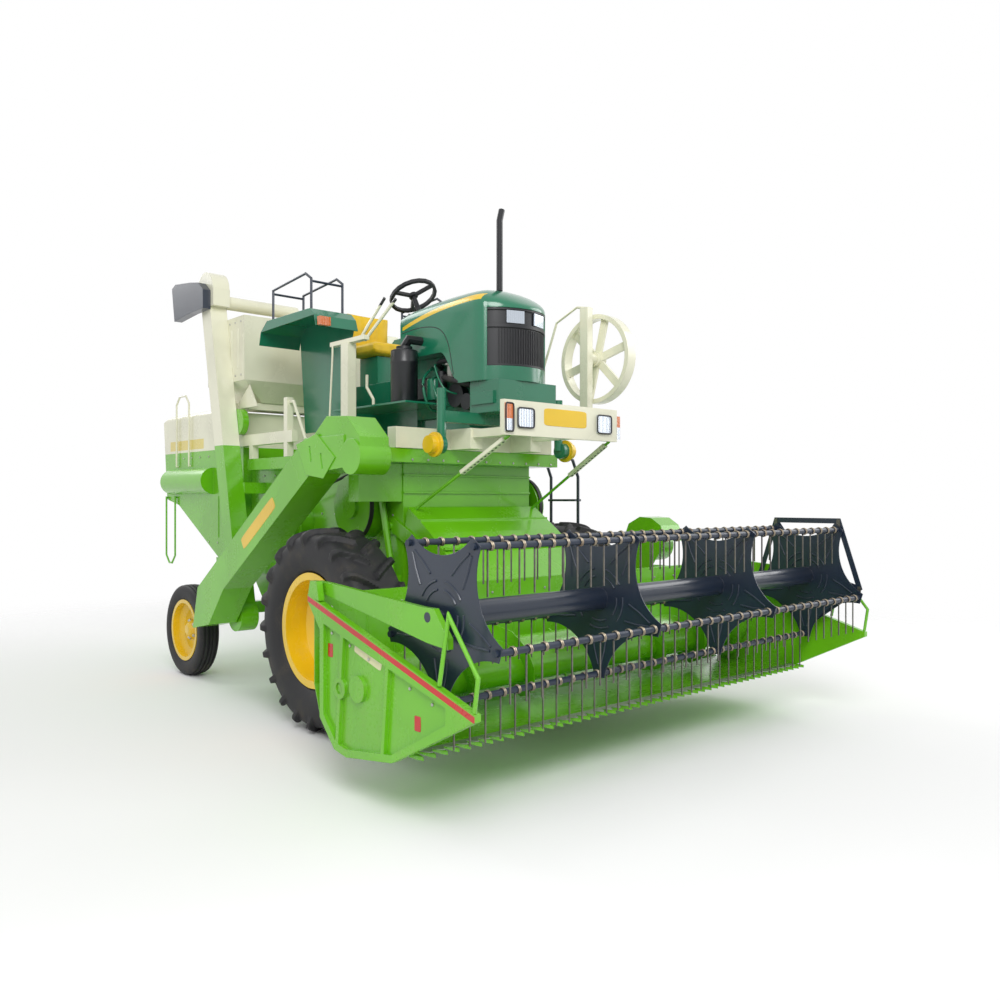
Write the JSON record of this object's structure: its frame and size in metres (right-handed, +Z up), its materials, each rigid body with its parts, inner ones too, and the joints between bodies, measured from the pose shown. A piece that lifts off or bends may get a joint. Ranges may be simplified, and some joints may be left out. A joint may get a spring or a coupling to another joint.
{
  "type": "tractor-mounted combine harvester",
  "caption": "Self-propelled grain harvester carrying a farm tractor on its deck, with a tined pick-up reel, knife and auger on a lifting front header, side elevators, grain tank and straw hood.",
  "frame": {"origin": "on the ground, under the middle of the machine's bounding box", "axes": "+X to the driver's left, -Y forward towards the header, +Z up"},
  "size_m": [3.8, 6.5652, 3.791],
  "materials": {
    "lime": "gloss lime green enamel",
    "cream": "gloss cream enamel",
    "tractor_green": "gloss dark green enamel",
    "slate": "dark slate blue enamel",
    "yellow": "gloss yellow enamel",
    "tyre": "matt black tyre rubber",
    "iron": "dark painted castings",
    "seat_vinyl": "yellow vinyl",
    "black_paint": "black enamel",
    "lens": "clear and amber lamp lenses",
    "steel": "worn bright steel"
  },
  "bodies": {
    "root": {"bumper": "cream", "chassis_sills": "lime", "control_post": "cream", "deck": "lime", "drive_axle": "lime", "elevator_guard": "slate", "engine_fittings": "black_paint", "exhaust_pipe": "black_paint", "fender_left": "tractor_green", "fender_rails": "slate", "fender_right": "tractor_green", "grain_elevator": "cream", "grain_tank": "cream", "grille": "black_paint", "hood_hoops": "cream", "ladder": "slate", "lamps": "lens", "pulley_bracket": "cream", "rear_hood": "lime", "return_elevator": "lime", "seat": "seat_vinyl", "side_drives": "lime", "steer_axle": "lime", "steering_wheel": "black_paint", "tank_frame": "cream", "thresher_body": "lime", "tractor_bonnet": "tractor_green", "tractor_engine": "iron", "tractor_front_axle": "tractor_green", "tractor_rails": "cream", "tractor_transmission": "tractor_green"},
    "front_wheel_right": {"tyre_front_right": "tyre", "rim_front_right": "yellow"},
    "steering_right": {"knuckle_right": "lime"},
    "rear_wheel_right": {"tyre_rear_right": "tyre", "rim_rear_right": "yellow"},
    "front_wheel_left": {"tyre_front_left": "tyre", "rim_front_left": "yellow"},
    "steering_left": {"knuckle_left": "lime"},
    "rear_wheel_left": {"tyre_rear_left": "tyre", "rim_rear_left": "yellow"},
    "header": {"header_platform": "lime", "feeder_house": "lime", "feeder_hinge_plates": "lime", "cutter_bar": "lime", "header_drive_guard": "lime"},
    "auger": {"header_auger": "lime"},
    "knife": {"knife": "steel"},
    "reel_lift": {"reel_arms": "lime"},
    "reel": {"reel": "slate"},
    "tine_bar_1": {"tine_bar_1": "slate"},
    "tine_bar_2": {"tine_bar_2": "slate"},
    "tine_bar_3": {"tine_bar_3": "slate"},
    "tine_bar_4": {"tine_bar_4": "slate"},
    "tine_bar_5": {"tine_bar_5": "slate"},
    "reel_star": {"reel_star": "slate"},
    "lift_barrels": {"lift_barrels": "lime"},
    "lift_rods": {"lift_rods": "steel"},
    "pulley": {"belt_pulley": "cream"}
  },
  "joints": [
    {"name": "front_wheel_right_spin", "type": "hinge", "parent": "root", "child": "front_wheel_right", "pos_m": [-1.16, -0.84741, 0.71], "axis": [1, 0, 0], "continuous": true},
    {"name": "steer_right", "type": "hinge", "parent": "root", "child": "steering_right", "pos_m": [-0.85, 1.75759, 0.415], "axis": [0, 0, 1], "range_deg": [-30, 30]},
    {"name": "rear_wheel_right_spin", "type": "hinge", "parent": "steering_right", "child": "rear_wheel_right", "pos_m": [-1.06, 1.75759, 0.415], "axis": [1, 0, 0], "continuous": true},
    {"name": "front_wheel_left_spin", "type": "hinge", "parent": "root", "child": "front_wheel_left", "pos_m": [1.16, -0.84741, 0.71], "axis": [1, 0, 0], "continuous": true},
    {"name": "steer_left", "type": "hinge", "parent": "root", "child": "steering_left", "pos_m": [0.85, 1.75759, 0.415], "axis": [0, 0, 1], "range_deg": [-30, 30]},
    {"name": "rear_wheel_left_spin", "type": "hinge", "parent": "steering_left", "child": "rear_wheel_left", "pos_m": [1.06, 1.75759, 0.415], "axis": [1, 0, 0], "continuous": true},
    {"name": "header_lift", "type": "hinge", "parent": "root", "child": "header", "pos_m": [0, -0.82741, 1.42], "axis": [-1, 0, 0], "range_deg": [-8, 14]},
    {"name": "auger_spin", "type": "hinge", "parent": "header", "child": "auger", "pos_m": [0, -2.11741, 0.59], "axis": [1, 0, 0], "continuous": true},
    {"name": "knife_stroke", "type": "slide", "parent": "header", "child": "knife", "axis": [1, 0, 0], "range_m": [-0.0381, 0.0381]},
    {"name": "reel_lift", "type": "hinge", "parent": "header", "child": "reel_lift", "pos_m": [0, -1.84741, 1.12], "axis": [-1, 0, 0], "range_deg": [0, 16]},
    {"name": "reel_spin", "type": "hinge", "parent": "reel_lift", "child": "reel", "pos_m": [0, -2.83241, 1.04], "axis": [1, 0, 0], "continuous": true},
    {"name": "tine_bar_1_turn", "type": "hinge", "parent": "reel", "child": "tine_bar_1", "pos_m": [0, -3.0881, 1.39192], "axis": [1, 0, 0], "continuous": true},
    {"name": "tine_bar_2_turn", "type": "hinge", "parent": "reel", "child": "tine_bar_2", "pos_m": [0, -3.24612, 0.90558], "axis": [1, 0, 0], "continuous": true},
    {"name": "tine_bar_3_turn", "type": "hinge", "parent": "reel", "child": "tine_bar_3", "pos_m": [0, -2.83241, 0.605], "axis": [1, 0, 0], "continuous": true},
    {"name": "tine_bar_4_turn", "type": "hinge", "parent": "reel", "child": "tine_bar_4", "pos_m": [0, -2.4187, 0.90558], "axis": [1, 0, 0], "continuous": true},
    {"name": "tine_bar_5_turn", "type": "hinge", "parent": "reel", "child": "tine_bar_5", "pos_m": [0, -2.57672, 1.39192], "axis": [1, 0, 0], "continuous": true},
    {"name": "reel_star_spin", "type": "hinge", "parent": "reel_lift", "child": "reel_star", "pos_m": [0, -2.83241, 1.105], "axis": [1, 0, 0], "continuous": true},
    {"name": "lift_barrel_swing", "type": "hinge", "parent": "root", "child": "lift_barrels", "pos_m": [0, -0.86741, 0.52], "axis": [-1, 0, 0], "range_deg": [-4.41, 7.35]},
    {"name": "lift_rod_slide", "type": "slide", "parent": "lift_barrels", "child": "lift_rods", "axis": [0, -0.9221, 0.387], "range_m": [-0.1204, 0.20771]},
    {"name": "pulley_spin", "type": "hinge", "parent": "root", "child": "pulley", "pos_m": [0.8, -1.58741, 2.72], "axis": [1, 0, 0], "continuous": true}
  ],
  "couplings": [
    {"joint": "steer_left", "follows": "steer_right", "ratio": 1},
    {"joint": "tine_bar_1_turn", "follows": "reel_spin", "ratio": -1},
    {"joint": "tine_bar_2_turn", "follows": "reel_spin", "ratio": -1},
    {"joint": "tine_bar_3_turn", "follows": "reel_spin", "ratio": -1},
    {"joint": "tine_bar_4_turn", "follows": "reel_spin", "ratio": -1},
    {"joint": "tine_bar_5_turn", "follows": "reel_spin", "ratio": -1},
    {"joint": "reel_star_spin", "follows": "reel_spin", "ratio": 1},
    {"joint": "lift_barrel_swing", "follows": "header_lift", "ratio": 0.48907},
    {"joint": "lift_rod_slide", "follows": "header_lift", "m_per_rad": 0.83368}
  ]
}
